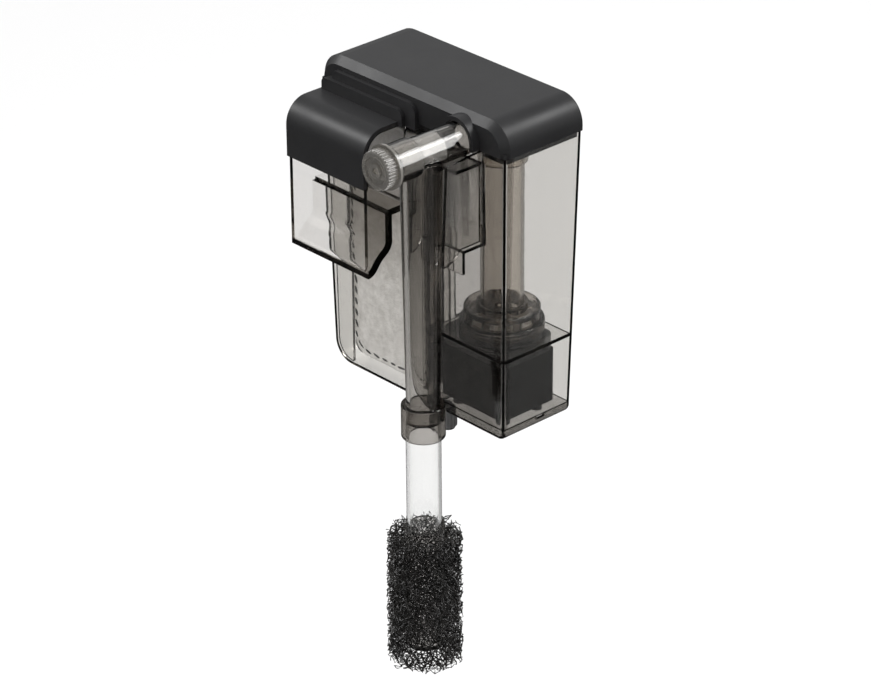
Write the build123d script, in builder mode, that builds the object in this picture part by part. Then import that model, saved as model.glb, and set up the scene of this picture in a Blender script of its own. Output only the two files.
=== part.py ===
from build123d import *
import os

os.makedirs("parts", exist_ok=True)

# Frame: origin in the middle of the spout's rim saddle, where the filter rests on the glass rim.
# +X runs along the glass, +Y points away from the tank, +Z is up.

# Box and lid
glass_gap = 8.4          # room for the glass between box and ramp
box_width = 120.0
box_depth = 47.8
box_height = 140.0       # casing, below the lid
lid_height = 15.0
box_x = 29.5             # middle of the box, measured from the middle of the spout
lid_z = 44.6             # lid's lower edge above the rim
wall = 1.8
lid_wall = 2.0
casing_inset = 0.4       # casing is this much inside the lid's outline
side_draft = 3.3         # how far each end leans in over the casing's height
face_draft = 2.4         # the same for front and back

front_y = glass_gap / 2
back_y = front_y + box_depth
mid_y = (front_y + back_y) / 2
left_x = box_x - box_width / 2
right_x = box_x + box_width / 2
lid_top_z = lid_z + lid_height
box_bottom_z = lid_z - box_height

# Spout
spout_width = 51.6
spout_front_y = -18.4
plate_thickness = 2.6
ramp_back_y = -3.8       # face towards the glass
ramp_thickness = 3.2
ramp_y = ramp_back_y - ramp_thickness / 2      # middle of the ramp's upright stretch
lip_z = -25.4
side_wall = 2.0
cover_clearance = 0.3
cover_wall = 2.0
cover_top_z = lid_z - 0.8
cover_front_y = -20.1
cover_bottom_z = 16.9
cover_radius = 11.6
cover_width = spout_width - 0.4

# Intake
intake_x = 63.0
intake_z = lid_z + 3.0
drop_y = -20.2           # axis of the down leg
pipe_radius = 8.0
pipe_wall = 1.8
valve_bore = 6.7
body_radius = 9.0
body_front_y = -39.3
body_back_y = -26.3
drop_top_radius = 9.6
drop_end_radius = 7.6
drop_end_z = -81.4
spigot_length = 9.0
running_gap = 0.05

# Pump, from the bottom up
pump_y = 28.2
floor_z = -54.9          # top of the pump compartment's roof, which the impeller housing stands on
floor_thickness = 1.8
compartment_x = 37.5     # left wall of the pump compartment
cover_line_z = -89.9     # joint between casing and bottom cover
motor_left = 40.3
motor_right = 80.0
motor_front = 12.2
motor_back = 44.2
motor_bottom = -88.9
motor_top = -62.9
motor_skin = 1.5
well_radius = 7.8
well_skin = 1.4
well_end_z = -87.0
collar_radius = 15.7     # motor cap's collar, which stands up through the roof
chamber_radius = 14.2
housing_top_z = -47.4
cover_ring_top_z = -41.4
shaft_radius = 1.5
magnet_radius = 7.2


def save(piece, name):
    piece.part.label = name
    export_step(piece.part, f"parts/{name}.step")


def tapered_box(inset, bottom, left_radius, right_radius, edge_radius):
    """Outline of the casing, moved in by inset, with its own bottom level and corner radii."""
    rise = lid_z - bottom
    x_lean = side_draft * rise / box_height
    y_lean = face_draft * rise / box_height
    edge = casing_inset + inset
    with BuildPart() as body:
        with BuildSketch(Plane.XZ.offset(-back_y - 5)):
            with BuildLine():
                Polyline(
                    (left_x + edge, lid_z),
                    (left_x + edge + x_lean, bottom),
                    (right_x - edge - x_lean, bottom),
                    (right_x - edge, lid_z),
                    close=True,
                )
            make_face()
        extrude(amount=box_depth + 10)
        low = body.edges().filter_by(Axis.Y).group_by(Axis.Z)[0].sort_by(Axis.X)
        fillet(low[0], left_radius)
        low = body.edges().filter_by(Axis.Y).group_by(Axis.Z)[0].sort_by(Axis.X)
        fillet(low[-1], right_radius)
        with BuildSketch(Plane.YZ.offset(left_x - 5)):
            with BuildLine():
                Polyline(
                    (front_y + edge, lid_z),
                    (front_y + edge + y_lean, bottom),
                    (back_y - edge - y_lean, bottom),
                    (back_y - edge, lid_z),
                    close=True,
                )
            make_face()
        extrude(amount=box_width + 10, mode=Mode.INTERSECT)
        if edge_radius:
            faces = body.faces().sort_by(Axis.Y)
            rim = faces[0].edges() + faces[-1].edges()
            rim = [e for e in rim if e.center().Z < lid_z - 0.01]
            fillet(rim, edge_radius)
    return body.part


outer_shape = tapered_box(0, box_bottom_z, 11.0, 4.0, 2.0)
inner_shape = tapered_box(wall, box_bottom_z + wall, 9.2, 2.2, 0)

# Casing: one moulding with the weir, the intake notch, the pump's roof and the cartridge rails
roof_hole_radius = 17.2
cartridge_left = -18.5
cartridge_right = 35.0
cartridge_front_y = 11.0
cartridge_thickness = 8.0
rail_thickness = 1.4
rail_gap = 0.4
rail_bite = 3.0
rail_top_z = 30.0
weir_half = spout_width / 2 - 0.6

with BuildPart() as inner_walls:
    # roof of the pump compartment and its left wall
    with Locations((compartment_x, mid_y, floor_z)):
        Box(80, 60, floor_thickness, align=(Align.MIN, Align.CENTER, Align.MAX))
    with Locations((compartment_x, mid_y, floor_z - 1)):
        Box(floor_thickness, 60, 60, align=(Align.MIN, Align.CENTER, Align.MAX))
    # partition between pump and cartridge, from the front wall to behind the cartridge
    cartridge_back_y = cartridge_front_y + cartridge_thickness
    partition_depth = cartridge_back_y + 4 - front_y
    with Locations((compartment_x, front_y, floor_z)):
        Box(
            floor_thickness,
            partition_depth,
            rail_top_z - floor_z,
            align=(Align.MIN, Align.MIN, Align.MIN),
        )
    # rails that hold the cartridge's two edges
    rail_front = cartridge_front_y - rail_gap - rail_thickness
    rail_back = cartridge_back_y + rail_gap
    for rail_y in (rail_front, rail_back):
        with Locations((cartridge_right - rail_bite, rail_y, box_bottom_z)):
            Box(
                compartment_x - cartridge_right + rail_bite + 0.5,
                rail_thickness,
                rail_top_z - box_bottom_z,
                align=(Align.MIN, Align.MIN, Align.MIN),
            )
        with Locations((cartridge_left + rail_bite, rail_y, box_bottom_z)):
            Box(
                30,
                rail_thickness,
                rail_top_z - box_bottom_z,
                align=(Align.MAX, Align.MIN, Align.MIN),
            )
    add(outer_shape, mode=Mode.INTERSECT)

with BuildPart() as casing:
    add(outer_shape)
    add(inner_shape, mode=Mode.SUBTRACT)
    add(inner_walls.part)
    # the pump compartment is open underneath
    with Locations((compartment_x + floor_thickness, mid_y, cover_line_z)):
        Box(80, 60, 20, align=(Align.MIN, Align.CENTER, Align.MAX), mode=Mode.SUBTRACT)
    # weir in the front wall
    with Locations((0, front_y - 1, plate_thickness)):
        Box(
            2 * weir_half,
            wall + 2,
            lid_z,
            align=(Align.CENTER, Align.MIN, Align.MIN),
            mode=Mode.SUBTRACT,
        )
    # notch for the intake pipe
    with BuildSketch(Plane.XZ.offset(-front_y - 4)):
        with Locations((intake_x, intake_z)):
            Circle(pipe_radius + 0.3)
    extrude(amount=8, mode=Mode.SUBTRACT)
    # hole in the roof for the motor cap's collar
    with Locations((intake_x, pump_y, floor_z)):
        Cylinder(roof_hole_radius, 8, mode=Mode.SUBTRACT)
save(casing, "casing")

# Waterfall spout: rim saddle plate, S-shaped ramp and two side walls
with BuildPart() as waterfall_spout:
    ramp_turn = (ramp_y, -12.3)
    ramp_knee = (-10.3, -18.8)
    ramp_step = (-13.7, -22.5)
    lip = (spout_front_y, lip_z)
    arc_middle = (
        cover_front_y + cover_radius,
        cover_top_z - cover_radius,
    )
    inner_radius = cover_radius - cover_wall - cover_clearance
    wall_top_z = cover_top_z - cover_wall - cover_clearance
    step_z = cover_bottom_z - 0.6
    with BuildSketch(Plane.YZ.offset(-spout_width / 2)):
        with BuildLine():
            Line((ramp_y, plate_thickness / 2), ramp_turn)
            Spline(ramp_turn, ramp_knee, ramp_step, lip, tangents=[(0, -1), (-1, 0)])
            Polyline(
                lip,
                (spout_front_y, step_z),
                (arc_middle[0] - inner_radius, step_z),
                (arc_middle[0] - inner_radius, arc_middle[1]),
            )
            CenterArc(arc_middle, inner_radius, 90, 90)
            Line((arc_middle[0], wall_top_z), (back_y, wall_top_z))
            Line((back_y, wall_top_z), (back_y, plate_thickness / 2))
            Line((back_y, plate_thickness / 2), (ramp_y, plate_thickness / 2))
        make_face()
    extrude(amount=side_wall)
    mirror(about=Plane.YZ)
    with BuildSketch(Plane.YZ.offset(-spout_width / 2)):
        with BuildLine() as ramp_path:
            Line((ramp_y, plate_thickness / 2), ramp_turn)
            Spline(ramp_turn, ramp_knee, ramp_step, lip, tangents=[(0, -1), (-1, 0)])
        trace(ramp_path.wires()[0], ramp_thickness)
    extrude(amount=spout_width)
    with Locations((0, ramp_y, 0)):
        Box(spout_width, box_depth, plate_thickness, align=(Align.CENTER, Align.MIN, Align.MIN))
    # everything under the plate and behind the ramp belongs to the glass
    with Locations((0, ramp_back_y, 0)):
        Box(60, 60, 60, align=(Align.CENTER, Align.MIN, Align.MAX), mode=Mode.SUBTRACT)
    add(outer_shape, mode=Mode.SUBTRACT)
    with Locations((0, front_y + 3, 0)):
        Box(60, 60, 120, align=(Align.CENTER, Align.MIN, Align.CENTER), mode=Mode.SUBTRACT)
save(waterfall_spout, "waterfall_spout")

# Rim bracket: cradle for the intake pipe and a second hook over the rim
cheek_left = 49.5
cheek_right = 74.9
cheek_thickness = 1.8
hook_right = 76.5
leg_y = -7.2
leg_thickness = 1.6
leg_end_z = -10.0
ledge_thickness = 1.6
shelf_top_z = intake_z - pipe_radius - 0.3

with BuildPart() as rim_bracket:
    for cheek_x in (cheek_left, cheek_right - cheek_thickness):
        with BuildSketch(Plane.YZ.offset(cheek_x)) as cheek:
            with BuildLine():
                Polyline(
                    (back_y, lid_z - 0.4),
                    (0, lid_z - 0.4),
                    (-15.8, lid_z - 2.0),
                    (-18.2, -4.2),
                    (-14.4, -3.6),
                )
                Spline((-14.4, -3.6), (-10.7, -1.4), (leg_y - leg_thickness, 0.6))
                Polyline(
                    (leg_y - leg_thickness, 0.6),
                    (leg_y, 0),
                    (back_y, 0),
                    (back_y, lid_z - 0.4),
                )
            make_face()
            fillet(cheek.vertices().sort_by_distance((cheek_x, -15.8, lid_z - 2.0))[0], 5)
            fillet(cheek.vertices().sort_by_distance((cheek_x, -18.2, -4.2))[0], 2.5)
        extrude(amount=cheek_thickness)
    hook_width = hook_right - cheek_left
    with Locations((cheek_left, leg_y - leg_thickness, 0)):
        Box(hook_width, 30, ledge_thickness, align=(Align.MIN, Align.MIN, Align.MIN))
    with Locations((cheek_left, leg_y, leg_end_z)):
        Box(hook_width, leg_thickness, -leg_end_z + 1, align=(Align.MIN, Align.MAX, Align.MIN))
    with Locations((cheek_left, front_y - 0.8, 0)):
        Box(hook_width, 10, shelf_top_z, align=(Align.MIN, Align.MIN, Align.MIN))
    with Locations((cheek_left, -9.8, shelf_top_z)):
        Box(
            cheek_right - cheek_left,
            30,
            cheek_thickness,
            align=(Align.MIN, Align.MIN, Align.MAX),
        )
    add(outer_shape, mode=Mode.SUBTRACT)
    with Locations((cheek_left - 5, front_y + 3, 0)):
        Box(50, 60, 120, align=(Align.MIN, Align.MIN, Align.CENTER), mode=Mode.SUBTRACT)
    # room for the intake pipe above the shelf
    with BuildSketch(Plane.XZ.offset(-back_y)):
        with Locations((intake_x, intake_z)):
            Circle(pipe_radius + 0.3)
    extrude(amount=80, mode=Mode.SUBTRACT)
save(rim_bracket, "rim_bracket")

# Bottom cover of the pump compartment
cover_skin = 1.6
gland_x = 45.0
gland_y = 11.6
gland_hole_radius = 2.65
cover_left = compartment_x + floor_thickness + 0.1

with BuildPart() as bottom_cover:
    add(outer_shape)
    add(tapered_box(cover_skin, box_bottom_z + cover_skin, 9.2, 2.4, 0), mode=Mode.SUBTRACT)
    with Locations((cover_left, mid_y, box_bottom_z - 1)):
        Box(
            80,
            60,
            cover_line_z - box_bottom_z + 1,
            align=(Align.MIN, Align.CENTER, Align.MIN),
            mode=Mode.INTERSECT,
        )
    with Locations((cover_left, mid_y, box_bottom_z + 0.6)):
        Box(
            cover_skin,
            box_depth - 8,
            cover_line_z - box_bottom_z - 0.6,
            align=(Align.MIN, Align.CENTER, Align.MIN),
        )
    # snap notch at the middle of the right end
    with Locations((right_x - side_draft, mid_y + 2, cover_line_z)):
        Box(6, 5, 1.6, align=(Align.CENTER, Align.CENTER, Align.MAX), mode=Mode.SUBTRACT)
    with Locations((gland_x, gland_y, box_bottom_z)):
        Cylinder(gland_hole_radius, 6, mode=Mode.SUBTRACT)
save(bottom_cover, "bottom_cover")

# Lid: hollow cap with a locating lip, two terraces, the spout cover and the intake hood
end_radius = 12.5
front_bevel = 3.4
lip_inset = casing_inset + wall + 0.4
lip_thickness = 1.3
lip_depth = 3.0
hood_outer = 10.5
hood_inner = 8.5
hood_depth = 4.0
terraces = [
    # left end, right end, top above the lid's edge, how far it stands out
    (left_x + 11.0, left_x + 65.5, 9.3, 2.0),
    (left_x + 6.0, left_x + 59.0, 5.0, 4.0),
]

with BuildPart() as lid_core:
    with BuildSketch(Plane.XZ.offset(-back_y + lid_wall)) as hollow:
        with Locations((box_x, lid_z - 1)):
            Rectangle(
                box_width - 2 * lid_wall,
                lid_height - lid_wall + 1,
                align=(Align.CENTER, Align.MIN),
            )
        fillet(hollow.vertices().group_by(Axis.Y)[-1], end_radius - lid_wall)
    extrude(amount=box_depth - 2 * lid_wall)
    face = lid_core.faces().sort_by(Axis.Y)[0]
    chamfer([e for e in face.edges() if e.center().Z > lid_z], front_bevel - 0.8)

with BuildPart() as lip_ring:
    lip_x = box_width - 2 * lip_inset
    lip_y = box_depth - 2 * lip_inset
    with BuildSketch(Plane.XY.offset(lid_z - lip_depth)):
        with Locations((box_x, mid_y)):
            Rectangle(lip_x, lip_y)
            Rectangle(lip_x - 2 * lip_thickness, lip_y - 2 * lip_thickness, mode=Mode.SUBTRACT)
    extrude(amount=lip_depth)
    with BuildSketch(Plane.XY.offset(lid_z)):
        with Locations((box_x, mid_y)):
            Rectangle(box_width - 2, box_depth - 2)
            Rectangle(lip_x - 2 * lip_thickness, lip_y - 2 * lip_thickness, mode=Mode.SUBTRACT)
    extrude(amount=2)
    # the lip stops short of the intake pipe
    with Locations((intake_x, front_y - 1, lid_z)):
        Box(22, 8, 12, align=(Align.CENTER, Align.MIN, Align.CENTER), mode=Mode.SUBTRACT)

with BuildPart() as lid:
    with BuildSketch(Plane.XZ.offset(-back_y)) as outline:
        with Locations((box_x, lid_z)):
            Rectangle(box_width, lid_height, align=(Align.CENTER, Align.MIN))
        fillet(outline.vertices().group_by(Axis.Y)[-1], end_radius)
    extrude(amount=box_depth)
    front_face = lid.faces().sort_by(Axis.Y)[0]
    chamfer([e for e in front_face.edges() if e.center().Z > lid_z + 0.1], front_bevel)
    rear_face = lid.faces().sort_by(Axis.Y)[-1]
    fillet([e for e in rear_face.edges() if e.center().Z > lid_z + 0.1], 1.5)
    add(lid_core.part, mode=Mode.SUBTRACT)
    add(lip_ring.part)
    # terraces between the lid's face and the spout cover
    for left, right, height, depth in terraces:
        with BuildSketch(Plane.XZ.offset(-front_y)) as terrace:
            with Locations(((left + right) / 2, cover_top_z - cover_wall)):
                Rectangle(
                    right - left,
                    lid_z + height - cover_top_z + cover_wall,
                    align=(Align.CENTER, Align.MIN),
                )
            top = terrace.vertices().group_by(Axis.Y)[-1].sort_by(Axis.X)
            fillet(top[0], 2.6)
            top = terrace.vertices().group_by(Axis.Y)[-1].sort_by(Axis.X)
            fillet(top[-1], 5.0 if height > 6 else 3.6)
        extrude(amount=depth)
    # spout cover, a shell that is open underneath
    with BuildSketch(Plane.YZ.offset(-cover_width / 2)):
        with BuildLine():
            Line((front_y, cover_top_z), (arc_middle[0], cover_top_z))
            CenterArc(arc_middle, cover_radius, 90, 90)
            Polyline(
                (cover_front_y, arc_middle[1]),
                (cover_front_y, cover_bottom_z),
                (cover_front_y + cover_wall, cover_bottom_z),
                (cover_front_y + cover_wall, arc_middle[1]),
            )
            CenterArc(arc_middle, cover_radius - cover_wall, 90, 90)
            Polyline(
                (arc_middle[0], cover_top_z - cover_wall),
                (front_y, cover_top_z - cover_wall),
                (front_y, cover_top_z),
            )
        make_face()
    extrude(amount=cover_width)
    # hood: an arch over the intake pipe
    with BuildSketch(Plane.XZ.offset(-front_y - lid_wall)) as hood:
        with Locations((intake_x, intake_z)):
            Circle(hood_outer)
            Rectangle(
                2 * hood_outer,
                intake_z - lid_z,
                align=(Align.CENTER, Align.MAX),
            )
        with Locations((intake_x, lid_z)):
            Rectangle(60, 60, align=(Align.CENTER, Align.MAX), mode=Mode.SUBTRACT)
    extrude(amount=hood_depth + lid_wall)
    with BuildSketch(Plane.XZ.offset(-front_y - 8)):
        with Locations((intake_x, intake_z)):
            Circle(hood_inner)
            Rectangle(2 * hood_inner, 20, align=(Align.CENTER, Align.MAX))
    extrude(amount=20, mode=Mode.SUBTRACT)
save(lid, "lid")

# Intake pipe: horizontal leg, valve body and tapered down leg, one clear moulding
elbow_wall = 1.6
pipe_end_y = pump_y - 7.5
bore_radius = pipe_radius - pipe_wall
drop_cone_end = drop_end_z + spigot_length

with BuildPart() as intake_pipe:
    with BuildSketch(Plane.XZ.offset(-pipe_end_y)):
        with Locations((intake_x, intake_z)):
            Circle(pipe_radius)
    extrude(amount=pipe_end_y - body_front_y - 1)
    with BuildSketch(Plane.XZ.offset(-body_back_y)):
        with Locations((intake_x, intake_z)):
            Circle(body_radius)
    extrude(amount=body_back_y - body_front_y)
    with BuildSketch(Plane.XY.offset(drop_cone_end)):
        with Locations((intake_x, drop_y)):
            Circle(drop_end_radius + 0.1)
    with BuildSketch(Plane.XY.offset(intake_z - 1)):
        with Locations((intake_x, drop_y)):
            Circle(drop_top_radius)
    loft()
    with Locations((intake_x, drop_y, drop_end_z)):
        Cylinder(
            drop_end_radius,
            spigot_length + 1,
            align=(Align.CENTER, Align.CENTER, Align.MIN),
        )
    # water way: horizontal bore, wider seat of the valve barrel, tapered down leg
    with BuildSketch(Plane.XZ.offset(-pipe_end_y - 1)):
        with Locations((intake_x, intake_z)):
            Circle(bore_radius)
    extrude(amount=pipe_end_y - drop_y, mode=Mode.SUBTRACT)
    with BuildSketch(Plane.XZ.offset(-drop_y - 10)):
        with Locations((intake_x, intake_z)):
            Circle(valve_bore)
    extrude(amount=drop_y + 10 - body_front_y + 1, mode=Mode.SUBTRACT)
    with BuildSketch(Plane.XY.offset(drop_end_z - 1)):
        with Locations((intake_x, drop_y)):
            Circle(drop_end_radius - pipe_wall + 0.2)
    with BuildSketch(Plane.XY.offset(intake_z - 4)):
        with Locations((intake_x, drop_y)):
            Circle(drop_top_radius - pipe_wall - 1.2)
    loft(mode=Mode.SUBTRACT)
save(intake_pipe, "intake_pipe")

# Flow knob with its spigot, and the ported barrel that it turns
knob_radius = 9.0
knob_flange_radius = 10.3
knob_face_y = -46.8
knob_back_y = body_front_y - 0.4
knob_flange = 1.4
knurls = 36
barrel_outer = valve_bore - running_gap
barrel_inner = barrel_outer - 1.3
barrel_back_y = drop_y + 8.5
spigot_radius = barrel_inner - 0.05

with BuildPart() as flow_knob:
    with BuildSketch(Plane.XZ.offset(-knob_back_y)):
        with Locations((intake_x, intake_z)):
            Circle(knob_radius)
    extrude(amount=knob_back_y - knob_face_y)
    face_edge = flow_knob.faces().sort_by(Axis.Y)[0].edges()
    chamfer(face_edge, 0.8)
    with BuildSketch(Plane.XZ.offset(-knob_back_y)):
        with Locations((intake_x, intake_z)):
            Circle(knob_flange_radius)
    extrude(amount=knob_flange)
    # knurls round the rim, a ring groove and a centre dimple in the face
    with BuildSketch(Plane.XZ.offset(-knob_back_y + knob_flange)):
        with Locations((intake_x, intake_z)):
            with PolarLocations(knob_radius, knurls):
                Circle(0.5)
    extrude(amount=10, mode=Mode.SUBTRACT)
    with BuildSketch(Plane.XZ.offset(-knob_face_y - 0.8)):
        with Locations((intake_x, intake_z)):
            Circle(6.4)
            Circle(3.4, mode=Mode.SUBTRACT)
            Circle(1.5)
    extrude(amount=2, mode=Mode.SUBTRACT)
    # spigot into the barrel
    with BuildSketch(Plane.XZ.offset(-knob_back_y - 5)):
        with Locations((intake_x, intake_z)):
            Circle(spigot_radius)
    extrude(amount=6)
save(flow_knob, "flow_knob")

with BuildPart() as valve_barrel:
    with BuildSketch(Plane.XZ.offset(-barrel_back_y)):
        with Locations((intake_x, intake_z)):
            Circle(barrel_outer)
            Circle(barrel_inner, mode=Mode.SUBTRACT)
    extrude(amount=barrel_back_y - body_front_y - 2.5)
    # port that faces the down leg when the valve is open
    with Locations((intake_x, drop_y, intake_z)):
        Cylinder(
            5.6,
            20,
            align=(Align.CENTER, Align.CENTER, Align.MAX),
            mode=Mode.SUBTRACT,
        )
save(valve_barrel, "valve_barrel")

with BuildPart() as knob_seal:
    with BuildSketch(Plane.XZ.offset(-body_front_y - 2.2)):
        with Locations((intake_x, intake_z)):
            Circle(barrel_outer)
            Circle(spigot_radius + 0.02, mode=Mode.SUBTRACT)
    extrude(amount=1.8)
save(knob_seal, "knob_seal")

# Collar, extension tube, strainer and foam
collar_top_z = -74.1
collar_end_z = -90.2
collar_outer = 10.0
tube_radius = 8.0
tube_bore = 6.7
tube_top_z = drop_end_z - 0.6
tube_end_z = -145.0
strainer_top_z = -136.5
strainer_end_z = -198.0
foam_radius = 17.0
foam_top_z = -138.3
foam_end_z = -205.5
foam_bore = 9.5

with BuildPart() as intake_collar:
    with Locations((intake_x, drop_y, collar_end_z)):
        Cylinder(
            collar_outer,
            collar_top_z - collar_end_z,
            align=(Align.CENTER, Align.CENTER, Align.MIN),
        )
    ends = intake_collar.edges().filter_by(GeomType.CIRCLE)
    fillet(ends, 0.6)
    with Locations((intake_x, drop_y, drop_end_z - 0.2)):
        Cylinder(
            drop_end_radius + 0.15,
            40,
            align=(Align.CENTER, Align.CENTER, Align.MIN),
            mode=Mode.SUBTRACT,
        )
    with Locations((intake_x, drop_y, collar_end_z - 1)):
        Cylinder(
            tube_radius + running_gap,
            drop_end_z - collar_end_z + 1 - 0.2,
            align=(Align.CENTER, Align.CENTER, Align.MIN),
            mode=Mode.SUBTRACT,
        )
save(intake_collar, "intake_collar")

with BuildPart() as extension_tube:
    with BuildSketch(Plane.XY.offset(tube_end_z)):
        with Locations((intake_x, drop_y)):
            Circle(tube_radius)
            Circle(tube_bore, mode=Mode.SUBTRACT)
    extrude(amount=tube_top_z - tube_end_z)
save(extension_tube, "extension_tube")

strainer_radius = 9.2
slot_rows = 5
slot_height = 6.0
slot_pitch = 9.0
with BuildPart() as strainer:
    with Locations((intake_x, drop_y, strainer_end_z)):
        Cylinder(
            strainer_radius,
            strainer_top_z - strainer_end_z - 0.2,
            align=(Align.CENTER, Align.CENTER, Align.MIN),
        )
    with Locations((intake_x, drop_y, strainer_top_z)):
        Cylinder(9.4, 1.8, align=(Align.CENTER, Align.CENTER, Align.MAX))
    with Locations((intake_x, drop_y, tube_end_z)):
        Cylinder(
            tube_radius + 0.05,
            40,
            align=(Align.CENTER, Align.CENTER, Align.MIN),
            mode=Mode.SUBTRACT,
        )
    with Locations((intake_x, drop_y, strainer_end_z + 1.6)):
        Cylinder(
            strainer_radius - 1.6,
            60,
            align=(Align.CENTER, Align.CENTER, Align.MIN),
            mode=Mode.SUBTRACT,
        )
    for row in range(slot_rows):
        with Locations((intake_x, drop_y, strainer_end_z + 5 + row * slot_pitch)):
            with PolarLocations(strainer_radius, 10):
                Box(
                    5,
                    1.8,
                    slot_height,
                    align=(Align.CENTER, Align.CENTER, Align.MIN),
                    mode=Mode.SUBTRACT,
                )
save(strainer, "strainer")

with BuildPart() as foam_prefilter:
    with Locations((intake_x, drop_y, foam_end_z)):
        Cylinder(
            foam_radius,
            foam_top_z - foam_end_z,
            align=(Align.CENTER, Align.CENTER, Align.MIN),
        )
    fillet(foam_prefilter.edges().filter_by(GeomType.CIRCLE), 2.0)
    with Locations((intake_x, drop_y, strainer_end_z - 0.4)):
        Cylinder(
            foam_bore,
            80,
            align=(Align.CENTER, Align.CENTER, Align.MIN),
            mode=Mode.SUBTRACT,
        )
save(foam_prefilter, "foam_prefilter")

# Foam, pump and riser share the intake's X, so water falls straight from pipe to riser
elbow_radius = 10.2
elbow_socket_radius = 9.6
elbow_top_z = lid_top_z - lid_wall - 0.6
elbow_end_z = 30.0
socket_front_y = pump_y - 14.5
riser_radius = 9.2
riser_wall = 1.6
riser_top_z = 38.0
riser_end_z = cover_ring_top_z

with BuildPart() as riser_elbow:
    with Locations((intake_x, pump_y, elbow_end_z)):
        Cylinder(
            elbow_radius + 0.6,
            elbow_top_z - elbow_end_z,
            align=(Align.CENTER, Align.CENTER, Align.MIN),
        )
    fillet(riser_elbow.edges().filter_by(GeomType.CIRCLE).sort_by(Axis.Z)[-1], 2.0)
    with BuildSketch(Plane.XZ.offset(-pump_y)):
        with Locations((intake_x, intake_z)):
            Circle(elbow_socket_radius)
    extrude(amount=pump_y - socket_front_y)
    with Locations((intake_x, pump_y, elbow_end_z - 1)):
        Cylinder(
            riser_radius + 0.02,
            riser_top_z - elbow_end_z + 1,
            align=(Align.CENTER, Align.CENTER, Align.MIN),
            mode=Mode.SUBTRACT,
        )
    with Locations((intake_x, pump_y, elbow_end_z)):
        Cylinder(
            riser_radius - riser_wall,
            elbow_top_z - elbow_end_z - elbow_wall,
            align=(Align.CENTER, Align.CENTER, Align.MIN),
            mode=Mode.SUBTRACT,
        )
    with BuildSketch(Plane.XZ.offset(-pipe_end_y)):
        with Locations((intake_x, intake_z)):
            Circle(pipe_radius + 0.02)
    extrude(amount=20, mode=Mode.SUBTRACT)
    with BuildSketch(Plane.XZ.offset(-pump_y)):
        with Locations((intake_x, intake_z)):
            Circle(bore_radius)
    extrude(amount=20, mode=Mode.SUBTRACT)
    # groove for the seal at the socket's mouth
    with BuildSketch(Plane.XZ.offset(-socket_front_y - 2)):
        with Locations((intake_x, intake_z)):
            Circle(pipe_radius + 0.8)
    extrude(amount=5, mode=Mode.SUBTRACT)
save(riser_elbow, "riser_elbow")

with BuildPart() as elbow_seal:
    with BuildSketch(Plane.XZ.offset(-socket_front_y - 1.9)):
        with Locations((intake_x, intake_z)):
            Circle(pipe_radius + 0.75)
            Circle(pipe_radius, mode=Mode.SUBTRACT)
    extrude(amount=1.7)
save(elbow_seal, "elbow_seal")

with BuildPart() as riser_tube:
    with BuildSketch(Plane.XY.offset(riser_end_z)):
        with Locations((intake_x, pump_y)):
            Circle(riser_radius)
            Circle(riser_radius - riser_wall, mode=Mode.SUBTRACT)
    extrude(amount=riser_top_z - riser_end_z)
save(riser_tube, "riser_tube")

# Motor block: shell with the rotor's well, stator core and coil
motor_x = (motor_left + motor_right) / 2
motor_y = (motor_front + motor_back) / 2
motor_wide = motor_right - motor_left
motor_deep = motor_back - motor_front
with BuildPart() as motor_housing:
    with BuildSketch(Plane.XY.offset(motor_bottom)):
        with Locations((motor_x, motor_y)):
            RectangleRounded(motor_wide, motor_deep, 2.5)
    extrude(amount=motor_top - motor_bottom)
    with BuildSketch(Plane.XY.offset(motor_bottom + motor_skin)):
        with Locations((motor_x, motor_y)):
            RectangleRounded(motor_wide - 2 * motor_skin, motor_deep - 2 * motor_skin, 1.2)
    extrude(amount=motor_top - motor_bottom - 2 * motor_skin, mode=Mode.SUBTRACT)
    with Locations((intake_x, pump_y, well_end_z - well_skin)):
        Cylinder(
            well_radius + well_skin,
            motor_top - well_end_z + well_skin,
            align=(Align.CENTER, Align.CENTER, Align.MIN),
        )
    with Locations((intake_x, pump_y, well_end_z)):
        Cylinder(
            well_radius,
            motor_top - well_end_z + 1,
            align=(Align.CENTER, Align.CENTER, Align.MIN),
            mode=Mode.SUBTRACT,
        )
save(motor_housing, "motor_housing")

limb_x = 46.0
limb_width = 5.0
core_right = 76.0
core_front = 16.2
core_back = 40.2
leg_width = 5.0
core_z = -82.0
core_height = 14.0
with BuildPart() as stator_core:
    with BuildSketch(Plane.XY.offset(core_z)):
        with BuildLine():
            Polyline(
                (limb_x, core_front),
                (core_right, core_front),
                (core_right, core_front + leg_width),
                (limb_x + limb_width, core_front + leg_width),
                (limb_x + limb_width, core_back - leg_width),
                (core_right, core_back - leg_width),
                (core_right, core_back),
                (limb_x, core_back),
                close=True,
            )
        make_face()
        with Locations((intake_x, pump_y)):
            Circle(well_radius + well_skin + 0.1, mode=Mode.SUBTRACT)
    extrude(amount=core_height)
save(stator_core, "stator_core")

with BuildPart() as stator_coil:
    with Locations((limb_x + limb_width / 2, pump_y, core_z + core_height / 2)):
        Box(10.4, 12.8, core_height + 6)
        fillet(stator_coil.edges().filter_by(Axis.Y), 2.0)
        Box(limb_width + 0.1, 20, core_height + 0.1, mode=Mode.SUBTRACT)
save(stator_coil, "stator_coil")

with BuildPart() as motor_pads:
    pad_height = motor_bottom - box_bottom_z - cover_skin
    with Locations((motor_x, motor_y, box_bottom_z + cover_skin)):
        with GridLocations(motor_wide - 12, motor_deep - 12, 2, 2):
            Cylinder(2.6, pad_height, align=(Align.CENTER, Align.CENTER, Align.MIN))
save(motor_pads, "motor_pads")

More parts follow.
